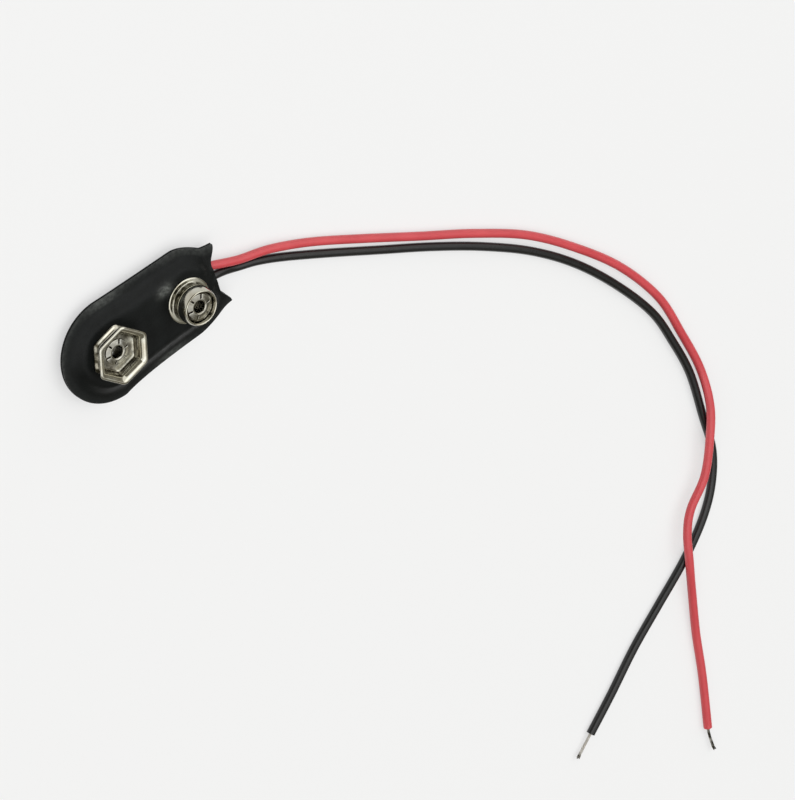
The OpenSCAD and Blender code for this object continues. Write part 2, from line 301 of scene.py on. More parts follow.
# Half the distance across the flats and the height above the skin, from the foot
# up the wall, round the rolled rim and down inside to the floor
SOCKET_STEPS = [
    (3.44, 0.0), (3.52, 0.02), (3.555, 0.08), (3.555, 0.16), (3.52, 0.23), (3.43, 0.31),
    (3.31, 0.39), (3.2, 0.48), (3.12, 0.6), (3.08, 0.76), (3.07, 0.95), (3.08, 1.13),
    (3.11, 1.3), (3.19, 1.46), (3.33, 1.59), (3.52, 1.68), (3.7, 1.73), (3.82, 1.79),
    (3.87, 1.87), (3.87, 1.95), (3.82, 2.03), (3.72, 2.08), (3.58, 2.1), (3.44, 2.07),
    (3.3, 1.99), (3.15, 1.87), (3.0, 1.69), (2.87, 1.46), (2.79, 1.2), (2.75, 0.95),
    (2.75, 0.7), (2.74, 0.52),
    (2.68, 0.4, 0.1), (2.52, 0.32, 0.35), (2.3, SOCKET_FLOOR, 0.6), (2.0, SOCKET_FLOOR, 0.8),
    (1.6, SOCKET_FLOOR, 1.0), (RIVET_HOLE, SOCKET_FLOOR, 1.0), (RIVET_HOLE, 0.02, 1.0),
]


def socket_painted_shade(place):
    """Painted shade: dark in the cup, most in its corners, and on one side of the wall."""
    away, height = from_axis(place, socket_axis)
    in_corner = band(away, low=2.3, high=3.2, blur=0.3)
    in_cup = band(away, low=RIVET_HOLE, high=3.0, blur=0.2) * band(height, low=0.2, high=0.9, blur=0.5)
    turn = math.atan2(place.y - socket_axis.y, place.x - socket_axis.x) - SHADED_WALL_TURN
    on_side = band(math.cos(turn), low=0.8, high=1.0, blur=0.3)
    on_wall = band(away, low=3.3, high=5.0, blur=0.2) * band(height, low=0.0, high=1.5, blur=0.3)
    return max(in_cup * (CUP_SHADE + CUP_CORNER_SHADE * in_corner), WALL_SHADE * on_side * on_wall)


def pressed_socket():
    """A six-sided cup with a waist and a rolled rim."""
    first = SOCKET_STEPS[0][0]
    piece = first_ring(
        "hex_socket", 6, first / math.cos(math.radians(30)), socket_axis, SKIN_TOP,
        corner=CORNER_SHARE * first, turn=SOCKET_TURN - 30,
    )
    draw_ring(socket_axis, [(s[0], SKIN_TOP + s[1], *s[2:]) for s in SOCKET_STEPS])
    bpy.ops.mesh.select_all(action="DESELECT")
    bpy.ops.mesh.select_non_manifold(
        use_wire=False, use_boundary=True, use_multi_face=False,
        use_non_contiguous=False, use_verts=False,
    )
    bpy.ops.mesh.bridge_edge_loops()
    bpy.ops.mesh.select_all(action="SELECT")
    bpy.ops.mesh.normals_make_consistent(inside=False)
    bpy.ops.object.mode_set(mode="OBJECT")
    subdivide_smooth(piece)
    shade_round(piece)
    mark_stain_and_shade(piece, socket_painted_shade)
    return piece


# The round stud

STUD_SIDES = 72
SHEET_T = 0.28
DISH_FLOOR = 2.45
# Painted shade round the waist, in the dish and in the dish's corner
WAIST_SHADE = 0.85
DISH_SHADE = 0.5
DISH_CORNER_SHADE = 0.3

# Radius and height above the skin, from the foot up the waist, over the crown and into the dish
STUD_STEPS = [
    (3.22, 0.0), (3.31, 0.03), (3.35, 0.1), (3.35, 0.19), (3.31, 0.26), (3.22, 0.3),
    (3.05, 0.31), (2.86, 0.32), (2.7, 0.36), (2.6, 0.45), (2.55, 0.6), (2.55, 0.8),
    (2.56, 0.98), (2.6, 1.14), (2.68, 1.3), (2.76, 1.44), (2.8, 1.58), (2.81, 1.76),
    (2.8, 1.95), (2.785, 2.14), (2.76, 2.34), (2.725, 2.54), (2.68, 2.74), (2.63, 2.92),
    (2.57, 3.07), (2.52, 3.15), (2.47, 3.19), (2.41, 3.2),
    (2.34, 3.15), (2.27, 3.04), (2.23, 2.88), (2.2, 2.7),
    (2.16, 2.55), (2.08, 2.47), (1.95, DISH_FLOOR), (1.7, DISH_FLOOR), (1.45, DISH_FLOOR),
    (RIVET_HOLE, DISH_FLOOR), (RIVET_HOLE - 0.02, 2.3),
]


def stud_painted_shade(place):
    """Painted shade: dark round the waist and in the dish, most in the dish's corner."""
    away, height = from_axis(place, stud_axis)
    at_waist = band(height, low=0.45, high=1.25, blur=0.2) * band(away, low=2.0, high=2.72, blur=0.1)
    in_dish = band(height, low=2.4, high=2.6, blur=0.4) * band(away, low=RIVET_HOLE, high=2.2, blur=0.05)
    in_corner = band(away, low=1.95, high=2.3, blur=0.2)
    return WAIST_SHADE * at_waist + in_dish * (DISH_SHADE + DISH_CORNER_SHADE * in_corner)


def pressed_stud():
    """A round sheet drawn up from its foot, over a crown and into a dish."""
    piece = first_ring("round_stud", STUD_SIDES, STUD_STEPS[0][0], stud_axis, SKIN_TOP)
    draw_ring(stud_axis, [(r, SKIN_TOP + z) for r, z in STUD_STEPS])
    bpy.ops.object.mode_set(mode="OBJECT")

    def outwards(face):
        away = face.center - stud_axis
        low = face.center.z < (SKIN_TOP + DISH_FLOOR - 0.25) * MM
        return face.normal.dot(Vector((away.x, away.y, 0)).normalized()) if low else 0

    face_outwards(piece, outwards)
    finish_with(piece, "SOLIDIFY", thickness=SHEET_T * MM, offset=-1)
    subdivide_smooth(piece)
    shade_round(piece)
    mark_stain_and_shade(piece, stud_painted_shade)
    return piece


# The split rivets

PETALS = 6
EDGES_A_PETAL = 12
BARREL_R = 0.85
RIVET_FOOT = 1.65
RIVET_SHEET = 0.15
PETAL_DARKENING = 0.3

# Radius and height above the floor that the petals lie on
FLARE_STEPS = [
    (BARREL_R, -0.6), (BARREL_R, -0.2), (BARREL_R, 0.0), (0.86, 0.1), (0.89, 0.19),
    (0.95, 0.26), (1.03, 0.3), (1.12, 0.31), (1.22, 0.3),
]
# Radius, height above that floor and how much a petal spreads sideways at each step
PETAL_STEPS = [
    (1.34, 0.28, 1.03), (1.48, 0.25, 1.03), (1.62, 0.22, 1.02), (1.77, 0.2, 1.01), (1.89, 0.19, 0.98),
]


def split_rivet(name, axis, floor, dark):
    """A hollow rivet whose flared end is split into petals. Dark says how dark its barrel is painted, as
    painted shade down the hole, and the petals are a little darker.
    """
    piece = first_ring(name, PETALS * EDGES_A_PETAL, BARREL_R, axis, RIVET_FOOT)
    flare = [(BARREL_R, RIVET_FOOT)] + [(r, floor + z) for r, z in FLARE_STEPS]
    draw_ring(axis, flare)
    sector = 2 * math.pi / PETALS

    def petal_turn(place):
        """How far a place is turned from the middle of its petal, and that middle."""
        angle = math.atan2(place.y - axis.y, place.x - axis.x)
        middle = (math.floor(angle / sector) + 0.5) * sector
        return angle - middle, middle

    reach = (flare[-1][0] * math.cos(math.pi / PETALS / EDGES_A_PETAL) - HAIR) * MM
    slot = sector * (0.5 - 1 / EDGES_A_PETAL)
    pick_edges(
        piece,
        lambda p: math.hypot(p.x - axis.x, p.y - axis.y) > reach and abs(petal_turn(p)[0]) < slot,
    )
    size, height = flare[-1]
    for radius, rise, spread in PETAL_STEPS:
        draw_ring(axis, [(size, height), (radius, floor + rise)])
        bpy.ops.object.mode_set(mode="OBJECT")
        for vertex in piece.data.vertices:
            if vertex.select:
                turn, middle = petal_turn(vertex.co)
                away = Vector((vertex.co.x - axis.x, vertex.co.y - axis.y)).length
                vertex.co.x = axis.x + away * math.cos(middle + turn * spread)
                vertex.co.y = axis.y + away * math.sin(middle + turn * spread)
        bpy.ops.object.mode_set(mode="EDIT")
        size, height = radius, floor + rise
    bpy.ops.object.mode_set(mode="OBJECT")

    def outwards(face):
        away = face.center - axis
        return -face.normal.dot(Vector((away.x, away.y, 0)).normalized())

    face_outwards(piece, outwards)
    finish_with(piece, "SOLIDIFY", thickness=RIVET_SHEET * MM, offset=-1)
    subdivide_smooth(piece)
    shade_round(piece, 50)
    # Painted shade down the barrel, and the petals a little darker
    mark_stain_and_shade(piece, lambda p: mix(dark, PETAL_DARKENING, band(p.z / MM - floor, low=0.2, high=1.0, blur=0.3)))
    return piece


# The vinyl skins

END_R = 7.85
END_ASIDE = 0.25
END_STEPS = 48
SIDE_STEPS = 20
TAIL_STEPS = 12
# Places along the pad that its edge is drawn by: along the side, at the bend, before the neck,
# at the neck, along the ear and at the ear's tip
EDGE_STATIONS = (-2.6, 7.4, 9.2, 11.75, 12.5, 13.62)
BEND_X = EDGE_STATIONS[1]
TIP_X = EDGE_STATIONS[-1]
# Half the width there on either side, as the soft pad lies a little askew
NEAR_WIDTHS = (7.44, 7.33, 7.17, 4.97, 4.75, 4.58)
FAR_WIDTHS = (7.08, 6.9, 6.8, 5.63, 5.28, 5.22)
MOUTH_DEPTH = 1.45
EAR_SHARE = 0.6
SKIN_T = 0.5
WELD_W = 1.0
SHOULDER_W = 2.3
WELD_Z = 1.71
FACE_Z = 2.7
MOUTH_Z = 2.0
EDGE_SHARE = 0.55
SOCKET_X = socket_axis.x / MM
STUD_X = stud_axis.x / MM
FALL_FROM = STUD_X + 3.2
FALL_TO = TIP_X - 0.4
# How far in from the edge each ring of points lies, up to where the flat starts
RING_INSETS = [0, 0.12, 0.32, 0.6, 0.9, 1.08, 1.2, 1.36, 1.6, 1.87, 2.13, 2.4, 2.62, 2.8]
FLAT_RINGS = 10

# Relief of the upper skin: a swell between the terminals, puckers round them, slow and quick
# waves, a groove along the weld and a ridge over each lead
SWELL_H = 0.14
SWELL_RUN = 1.6
PUCKER_H = 0.035
PUCKER_AWAY = 0.7
PUCKER_W = 0.6
SLOW_WAVE_H = 0.08
SLOW_WAVE_RATE = 0.32
QUICK_WAVE_H = 0.03
QUICK_WAVE_RATE = 0.9
SLOW_SEED, QUICK_SEED = 3.7, 9.1
GROOVE_H = 0.05
GROOVE_W = 0.14
RIDGE_H = 0.14
RIDGE_W = 0.55
RIDGE_FROM = STUD_X + 3.4
RIDGE_RUN = 1.8
# Where each terminal stands, the radius of its foot, and how many puckers lie round it from which turn
PUCKERED = ((SOCKET_X, 3.7, 7, 0.6), (STUD_X, 3.35, 6, 2.1))

# Rubbed marks: how pale the lip and the weld are on either side, and toward the tail
NEAR_LIP_SCUFF = 0.13
FAR_LIP_SCUFF = 0.05
WELD_SCUFF = 0.03
TAIL_SCUFF = 0.09
LIP_W = 0.3
SIDE_BLEND = 3.0
# Place along the pad, width and strength of the worn stretch of weld on either side
NEAR_WORN = (-4.6, 2.6, 0.26)
FAR_WORN = (2.4, 2.4, 0.3)
# Middle of the painted highlight beside the stud, and its size along and across the pad
HIGHLIGHT_AT = (4.1, 3.6)
HIGHLIGHT_SIZE = (0.949, 0.707)


def curve_through(a, b, c, steps):
    """Places on a curve from a, drawn by b, to c."""
    spots = [(i + 1) / steps for i in range(steps)]
    return [a * (1 - t) ** 2 + b * 2 * t * (1 - t) + c * t * t for t in spots]


def side_line(first_width, half_widths):
    """The pad's edge on one side, from the round end to the tip of an ear."""
    first = Vector((SOCKET_X, first_width))
    side_by, bend, bend_by, neck, ear_by, tip = (Vector(p) for p in zip(EDGE_STATIONS, half_widths))
    side = curve_through(first, side_by, bend, SIDE_STEPS)
    tail = curve_through(bend, bend_by, neck, TAIL_STEPS)
    ear = curve_through(neck, ear_by, tip, TAIL_STEPS)
    return side + tail + ear


def pad_rows():
    """The pad's edge from one ear round to the other, each place with the middle that its row runs to."""
    far_line = reversed(side_line(END_R + END_ASIDE, FAR_WIDTHS))
    far = [(Vector((p.x, -p.y)), Vector((p.x, 0))) for p in far_line]
    near = [(p, Vector((p.x, 0))) for p in side_line(END_R - END_ASIDE, NEAR_WIDTHS)]
    pole = Vector((SOCKET_X, 0))
    turns = [math.radians(270 - 180 * i / END_STEPS) for i in range(END_STEPS + 1)]
    centre = pole - Vector((0, END_ASIDE))
    end = [(centre + END_R * Vector((math.cos(a), math.sin(a))), pole) for a in turns]
    return far + end + near


def drawn_back(place, edge_y):
    """The tail's edge is hollowed between the ears."""
    share = max(0, (place.x - BEND_X) / (TIP_X - BEND_X))
    back = MOUTH_DEPTH * share ** 2 * ease((1 - abs(place.y / edge_y)) / EAR_SHARE)
    return Vector((place.x - back, place.y))


def skin_thickness(inset):
    return SKIN_T * mix(EDGE_SHARE, 1, min(1, inset / WELD_W))


def shoulder_rise(inset):
    return ease((inset - WELD_W) / SHOULDER_W)


def upper_relief(x, y, inset):
    """How the upper skin swells between the terminals and puckers round them."""
    swell = 1.0
    pucker = 0.0
    for axis_x, foot, folds, turn in PUCKERED:
        away = math.hypot(x - axis_x, y) - foot
        swell *= ease(away / SWELL_RUN)
        if away > 0:
            angle = math.atan2(y, x - axis_x)
            pucker += math.cos(folds * angle + turn) * bell(away - PUCKER_AWAY, PUCKER_W)
    flat = ease((inset - WELD_W - 0.4) / SHOULDER_W)
    slow = noise.noise(Vector((x, y, SLOW_SEED)) * SLOW_WAVE_RATE)
    quick = noise.noise(Vector((x, y, QUICK_SEED)) * QUICK_WAVE_RATE)
    waves = SLOW_WAVE_H * slow + QUICK_WAVE_H * quick
    groove = GROOVE_H * bell(inset - WELD_W, GROOVE_W)
    return flat * (SWELL_H * swell + PUCKER_H * pucker + swell * waves) - groove


def lead_line(inside, x):
    """How far aside a lead lies on its last stretch inside the pad."""
    (from_x, from_y), (to_x, to_y) = inside[-2:]
    return mix(from_y, to_y, (x - from_x) / (to_x - from_x))


def lead_ridge(x, y):
    """The skin is drawn over the two leads at the mouth."""
    near = ease((x - RIDGE_FROM) / RIDGE_RUN)
    ridges = sum(bell(y - lead_line(inside, x), RIDGE_W) for inside in (RED_INSIDE, BLACK_INSIDE))
    return near * RIDGE_H * ridges


def scuffed_and_highlit(x, y, inset):
    """Where the upper skin is rubbed pale along its weld, and where a painted highlight lies on the rise
    beside the stud.
    """
    in_weld = band(inset, low=0.0, high=WELD_W - 0.25, blur=0.45)
    toward_tail = band(x, low=8.0, high=TIP_X, blur=5.0)
    lip = bell(inset, LIP_W)
    near_worn, far_worn = (share * bell(x - at, width) for at, width, share in (NEAR_WORN, FAR_WORN))
    near_side = NEAR_LIP_SCUFF * lip + in_weld * (WELD_SCUFF + TAIL_SCUFF * toward_tail + near_worn)
    far_side = FAR_LIP_SCUFF * lip + in_weld * (WELD_SCUFF + far_worn)
    # A painted highlight on the rise beside the stud
    painted_highlight = bell(x - HIGHLIGHT_AT[0], HIGHLIGHT_SIZE[0]) * bell(y - HIGHLIGHT_AT[1], HIGHLIGHT_SIZE[1])
    return min(1, mix(far_side, near_side, ease(y / SIDE_BLEND + 0.5)) + painted_highlight)


def skin_height(place, edge_x, inset, upper):
    """The height of a skin's outer face."""
    rise = shoulder_rise(inset)
    if not upper:
        return mix(WELD_Z, SKIN_T, rise) - skin_thickness(inset)
    fall = ease((edge_x - FALL_FROM) / (FALL_TO - FALL_FROM))
    inner_face = mix(WELD_Z, mix(FACE_Z, MOUTH_Z, fall), rise)
    relief = upper_relief(place.x, place.y, inset) + rise * lead_ridge(place.x, place.y)
    return inner_face + skin_thickness(inset) + relief


def punch_hole(piece, axis):
    """Cuts the hole that a rivet goes through."""
    bpy.ops.object.select_all(action="DESELECT")
    bpy.ops.mesh.primitive_cylinder_add(
        vertices=48, radius=RIVET_HOLE * MM, depth=4 * MM, location=(axis.x, axis.y, SKIN_TOP * MM)
    )
    punch = bpy.context.object
    finish_with(piece, "BOOLEAN", operation="DIFFERENCE", object=punch, solver="EXACT")
    bpy.data.objects.remove(punch)


def welded_skin(name, upper):
    """One vinyl skin, laid as a grid whose rows run from the pad's edge to its middle."""
    rows = pad_rows()
    rings = len(RING_INSETS) + FLAT_RINGS
    bpy.ops.object.select_all(action="DESELECT")
    bpy.ops.mesh.primitive_grid_add(x_subdivisions=rings - 1, y_subdivisions=len(rows) - 1, size=MM)
    piece = bpy.context.object
    piece.name = piece.data.name = name
    mesh = piece.data
    insets = []
    scuffs_and_highlight = []
    for i, vertex in enumerate(mesh.vertices):
        row, ring = divmod(i, rings)
        edge, middle = rows[row]
        reach = (middle - edge).length
        if ring < len(RING_INSETS):
            inset = RING_INSETS[ring]
        else:
            inset = mix(RING_INSETS[-1], reach, (ring - len(RING_INSETS) + 1) / FLAT_RINGS)
        place = edge + (middle - edge) * (inset / reach)
        if edge.x > SOCKET_X:
            place = drawn_back(place, abs(edge.y))
        vertex.co = Vector((place.x, place.y, skin_height(place, edge.x, inset, upper))) * MM
        insets.append(inset)
        scuffs_and_highlight.append(scuffed_and_highlit(place.x, place.y, inset) if upper else 0.0)
    thickness = piece.vertex_groups.new(name="thickness")
    for i, inset in enumerate(insets):
        thickness.add([i], skin_thickness(inset) / SKIN_T, "REPLACE")
    keep_on_points(piece, "weld", [band(inset, low=0.0, high=WELD_W - 0.1, blur=0.3) for inset in insets])
    keep_on_points(piece, "scuff_and_highlight", scuffs_and_highlight)
    take(piece)
    bpy.ops.object.mode_set(mode="EDIT")
    bpy.ops.mesh.select_all(action="SELECT")
    bpy.ops.mesh.remove_doubles(threshold=1e-7)
    bpy.ops.object.mode_set(mode="OBJECT")
    face_outwards(piece, lambda face: face.normal.z if upper else -face.normal.z)
    subdivide_smooth(piece, boundary_smooth="PRESERVE_CORNERS")
    finish_with(piece, "SOLIDIFY", thickness=SKIN_T * MM, offset=-1, vertex_group="thickness")
    if upper:
        for axis in (socket_axis, stud_axis):
            punch_hole(piece, axis)
    for vertex in mesh.vertices:
        vertex.co.z = max(0, vertex.co.z)
    shade_round(piece, 60)
    return piece


# The tinned strands

BARE_LEN = 4.0
HIDDEN_LEN = 0.6
STRAND_R = 0.068
STRAND_OUT = 2 * STRAND_R * 1.02
STRAND_STEPS = 28
TWIST = 1.1
LEAN_FROM = 0.6
BEND_POWER = 1.6
MIDDLE_CUT = 0.15
# Turn of each strand round the middle one, how far its tip leans out and how much shorter it is
STRANDS = [
    (0, 0.02, 0.0), (60, 0.05, 0.2), (120, 0.08, 0.1), (180, 0.03, 0.3), (240, 0.06, 0.15), (300, 0.01, 0.25),
]


def strand(name, start, along, across, above, bend, turn, lean, cut):
    """One fine strand, twisted round the middle of the bare end, which is bent aside at its tip."""
    data = bpy.data.curves.new(name, "CURVE")
    data.dimensions = "3D"
    data.bevel_depth = STRAND_R * MM
    data.bevel_resolution = 2
    data.use_fill_caps = True
    line = data.splines.new("POLY")
    line.points.add(STRAND_STEPS)
    for i, point in enumerate(line.points):
        share = i / STRAND_STEPS
        length = mix(-HIDDEN_LEN, BARE_LEN - cut, share)
        angle = math.radians(turn) + 2 * math.pi * TWIST * share
        out = 0.0 if lean is None else STRAND_OUT + lean * ease((share - LEAN_FROM) / (1 - LEAN_FROM))
        side = across * math.cos(angle) + above * math.sin(angle)
        aside = across * (bend * max(0, length / BARE_LEN) ** BEND_POWER)
        place = start + (along * length + aside + side * out) * MM
        point.co = (*place, 1)
    piece = bpy.data.objects.new(name, data)
    scene.collection.objects.link(piece)
    take(piece)
    bpy.ops.object.convert(target="MESH")
    return bpy.context.object


def tinned_end(name, route, bend, tarnish, tip_tarnish):
    """The bare end of a lead: six strands twisted round a seventh."""
    along = end_direction(route)
    across = along.cross(Vector((0, 0, 1))).normalized()
    above = across.cross(along)
    parts = [strand(name, route[-1], along, across, above, bend, 0, None, MIDDLE_CUT)]
    for i, (turn, lean, cut) in enumerate(STRANDS):
        parts.append(strand(f"{name}_{i}", route[-1], along, across, above, bend, turn, lean, cut))
    bpy.ops.object.select_all(action="DESELECT")
    for part in parts:
        part.select_set(True)
    bpy.context.view_layer.objects.active = parts[0]
    bpy.ops.object.join()
    shade_round(parts[0], 60)

    # On the bare ends the kept darkening is tarnish only, with no painted shade
    def stain_and_shade(place):
        length = (place - route[-1]).dot(along) / MM
        return mix(tarnish, tip_tarnish, band(length, low=BARE_LEN - 0.4, high=BARE_LEN, blur=0.5))

    mark_stain_and_shade(parts[0], stain_and_shade)
    return parts[0]


hex_socket = pressed_socket()
round_stud = pressed_stud()
# Each rivet's barrel gets painted shade down its hole, darkest in the socket
socket_rivet = split_rivet("split_socket_rivet", socket_axis, SKIN_TOP + SOCKET_FLOOR, dark=0.85)
stud_rivet = split_rivet("split_stud_rivet", stud_axis, SKIN_TOP + DISH_FLOOR, dark=0.15)
upper_skin = welded_skin("upper_vinyl_skin", upper=True)
lower_skin = welded_skin("lower_vinyl_skin", upper=False)
red_strands = tinned_end("red_tinned_end", red_route, bend=-0.75, tarnish=0.7, tip_tarnish=0.8)
black_strands = tinned_end("black_tinned_end", black_route, bend=0.0, tarnish=0.15, tip_tarnish=0.8)

# The finishes


def group_with(name, inputs, outputs):
    """An empty shader group with named inputs and outputs."""
    group = bpy.data.node_groups.new(name, "ShaderNodeTree")
    for socket, kind, value in inputs:
        made = group.interface.new_socket(socket, in_out="INPUT", socket_type=kind)
        if value is not None:
            made.default_value = value
    for socket, kind in outputs:
        group.interface.new_socket(socket, in_out="OUTPUT", socket_type=kind)
    enter = group.nodes.new("NodeGroupInput")
    leave = group.nodes.new("NodeGroupOutput")
    return group, enter.outputs, leave.inputs


def math_node(tree, operation, *values):
    node = tree.nodes.new("ShaderNodeMath")
    node.operation = operation
    for socket, value in zip(node.inputs, values):
        if isinstance(value, (int, float)):
            socket.default_value = value
        else:
            tree.links.new(value, socket)
    return node.outputs[0]


def noise_node(tree, vector, scale, detail, roughness=0.5):
    node = tree.nodes.new("ShaderNodeTexNoise")
    node.inputs["Detail"].default_value = detail
    node.inputs["Roughness"].default_value = roughness
    tree.links.new(vector, node.inputs["Vector"])
    if isinstance(scale, (int, float)):
        node.inputs["Scale"].default_value = scale
    else:
        tree.links.new(scale, node.inputs["Scale"])
    return node.outputs[0]


def make_patches():
    """Soft patches from a low to a high value, of a given size in millimetres."""
    group, put, get = group_with(
        "patches",
        [("Vector", "NodeSocketVector", None), ("Size", "NodeSocketFloat", 2.0),
         ("Low", "NodeSocketFloat", 0.0), ("High", "NodeSocketFloat", 1.0)],
        [("Value", "NodeSocketFloat")],
    )
    scale = math_node(group, "DIVIDE", 1000.0, put["Size"])
    cloud = noise_node(group, put["Vector"], scale, 3.0)
    spread = group.nodes.new("ShaderNodeMapRange")
    spread.inputs["From Min"].default_value = 0.32
    spread.inputs["From Max"].default_value = 0.68
    group.links.new(cloud, spread.inputs["Value"])
    group.links.new(put["Low"], spread.inputs["To Min"])
    group.links.new(put["High"], spread.inputs["To Max"])
    group.links.new(spread.outputs[0], get["Value"])
    return group


def make_grain():
    """Pebbled grain: rounded cells with fine valleys, of a given size in millimetres."""
    group, put, get = group_with(
        "pebbled_grain",
        [("Vector", "NodeSocketVector", None), ("Size", "NodeSocketFloat", 0.3)],
        [("Height", "NodeSocketFloat")],
    )
    scale = math_node(group, "DIVIDE", 1000.0, put["Size"])
    cells = group.nodes.new("ShaderNodeTexVoronoi")
    cells.feature = "DISTANCE_TO_EDGE"
    group.links.new(put["Vector"], cells.inputs["Vector"])
    group.links.new(scale, cells.inputs["Scale"])
    valley = math_node(group, "MINIMUM", math_node(group, "MULTIPLY", cells.outputs["Distance"], 4.0), 1.0)
    crumb = noise_node(group, put["Vector"], math_node(group, "MULTIPLY", scale, 0.6), 2.0)
    height = math_node(group, "ADD", math_node(group, "MULTIPLY", valley, 0.6), crumb)
    group.links.new(height, get["Height"])
    return group


def make_scratches():
    """Fine scratches from handling, mostly along one way."""
    group, put, get = group_with(
        "fine_scratches",
        [("Vector", "NodeSocketVector", None), ("Length", "NodeSocketFloat", 1.5)],
        [("Height", "NodeSocketFloat")],
    )
    turn = group.nodes.new("ShaderNodeMapping")
    turn.inputs["Rotation"].default_value = (0.3, 0.5, 0.7)
    turn.inputs["Scale"].default_value = (1.0, 14.0, 14.0)
    group.links.new(put["Vector"], turn.inputs["Vector"])
    scale = math_node(group, "DIVIDE", 1000.0, put["Length"])
    lines = noise_node(group, turn.outputs[0], scale, 4.0, 0.7)
    group.links.new(lines, get["Height"])
    return group


patches = make_patches()
pebbled_grain = make_grain()
fine_scratches = make_scratches()


# A Mix node names its sockets alike for every kind of value: these are the ones for colours
MIX_FIRST, MIX_SECOND, MIX_RESULT = 6, 7, 2


def finish_material(name, metallic=0.0, **constants):
    """A material with one shader, whose values that are the same all over are set on it."""
    material = bpy.data.materials.new(name)
    material.use_nodes = True
    tree = material.node_tree
    shader = tree.nodes["Principled BSDF"]
    shader.inputs["Metallic"].default_value = metallic
    for key, value in constants.items():
        shader.inputs[key.replace("_", " ")].default_value = value
    place = tree.nodes.new("ShaderNodeTexCoord").outputs["Object"]
    return material, tree, shader, place


def use_group(tree, group, place, **values):
    node = tree.nodes.new("ShaderNodeGroup")
    node.node_tree = group
    tree.links.new(place, node.inputs["Vector"])
    for key, value in values.items():
        node.inputs[key].default_value = value
    return node.outputs[0]


def kept_value(tree, name):
    """What keep_on_points kept on the piece."""
    node = tree.nodes.new("ShaderNodeAttribute")
    node.attribute_name = name
    return node.outputs["Fac"]


def blend_colours(tree, share, first, second):
    node = tree.nodes.new("ShaderNodeMix")
    node.data_type = "RGBA"
    for socket, colour in ((node.inputs[MIX_FIRST], first), (node.inputs[MIX_SECOND], second)):
        if isinstance(colour, tuple):
            socket.default_value = (*colour, 1)
        else:
            tree.links.new(colour, socket)
    tree.links.new(share, node.inputs["Factor"])
    return node.outputs[MIX_RESULT]


def raise_bumps(tree, shader, height, distance, strength):
    bump = tree.nodes.new("ShaderNodeBump")
    bump.inputs["Distance"].default_value = distance * MM
    bump.inputs["Strength"].default_value = strength
    tree.links.new(height, bump.inputs["Height"])
    tree.links.new(bump.outputs[0], shader.inputs["Normal"])


def black_vinyl():
    """Grained vinyl, pressed flatter and duller in the weld, rubbed pale in places, and with a painted
    highlight beside the stud.
    """
    material, tree, shader, place = finish_material("black_vinyl", Specular_IOR_Level=0.12)
    weld = kept_value(tree, "weld")
    share = use_group(tree, patches, place, Size=2.6, Low=0.0, High=1.0)
    skin = blend_colours(tree, share, (0.0045, 0.0053, 0.0053), (0.0075, 0.0088, 0.0088))
    specks = use_group(tree, patches, place, Size=0.45, Low=0.35, High=1.0)
    # The rubbed pale marks and the painted highlight beside the stud, broken into specks
    rubbed_and_highlit = math_node(tree, "MULTIPLY", kept_value(tree, "scuff_and_highlight"), specks)
    colour = blend_colours(tree, rubbed_and_highlit, skin, (0.19, 0.2, 0.19))
    tree.links.new(colour, shader.inputs["Base Color"])
    gloss = use_group(tree, patches, place, Size=1.4, Low=0.3, High=0.42)
    dull = math_node(tree, "MULTIPLY_ADD", weld, 0.14, gloss)
    tree.links.new(dull, shader.inputs["Roughness"])
    grain = use_group(tree, pebbled_grain, place, Size=0.34)
    flatter = math_node(tree, "MULTIPLY_ADD", weld, -0.5, 1.0)
    raise_bumps(tree, shader, math_node(tree, "MULTIPLY", grain, flatter), distance=0.03, strength=0.6)
    return material


def plated_metal(name, bright, stained, smooth, rough):
    """Plated or tinned metal, with a warm stain in patches, darkened where it is marked with tarnish and
    painted shade, and finely scratched.
    """
    material, tree, shader, place = finish_material(name, metallic=1.0)
    share = use_group(tree, patches, place, Size=1.7, Low=0.0, High=1.0)
    plate = blend_colours(tree, share, bright, stained)
    mottle = use_group(tree, patches, place, Size=0.9, Low=0.35, High=1.65)
    # The kept tarnish and painted shade, broken up in patches, darken the plate toward dark brown
    dark = math_node(tree, "MINIMUM", math_node(tree, "MULTIPLY", kept_value(tree, "stain_and_shade"), mottle), 1.0)
    tree.links.new(blend_colours(tree, dark, plate, (0.05, 0.045, 0.03)), shader.inputs["Base Color"])
    gloss = use_group(tree, patches, place, Size=0.7, Low=smooth, High=rough)
    tree.links.new(gloss, shader.inputs["Roughness"])
    lines = use_group(tree, fine_scratches, place, Length=1.2)
    raise_bumps(tree, shader, lines, distance=0.004, strength=0.4)
    return material


def lead_vinyl(name, light, dark, smooth, rough):
    """Glossy soft insulation with the faint waves of its drawing."""
    material, tree, shader, place = finish_material(name)
    share = use_group(tree, patches, place, Size=5.0, Low=0.0, High=1.0)
    tree.links.new(blend_colours(tree, share, light, dark), shader.inputs["Base Color"])
    gloss = use_group(tree, patches, place, Size=2.0, Low=smooth, High=rough)
    tree.links.new(gloss, shader.inputs["Roughness"])
    waves = use_group(tree, patches, place, Size=0.9, Low=0.0, High=1.0)
    raise_bumps(tree, shader, waves, distance=0.012, strength=0.5)
    return material


def grey_solder():
    """Solder that set with a dull, uneven skin."""
    material, tree, shader, place = finish_material("solder", metallic=1.0)
    share = use_group(tree, patches, place, Size=0.5, Low=0.0, High=1.0)
    colour = blend_colours(tree, share, (0.62, 0.62, 0.63), (0.5, 0.5, 0.51))
    tree.links.new(colour, shader.inputs["Base Color"])
    gloss = use_group(tree, patches, place, Size=0.3, Low=0.25, High=0.42)
    tree.links.new(gloss, shader.inputs["Roughness"])
    lines = use_group(tree, fine_scratches, place, Length=0.8)
    raise_bumps(tree, shader, lines, distance=0.01, strength=0.5)
    return material


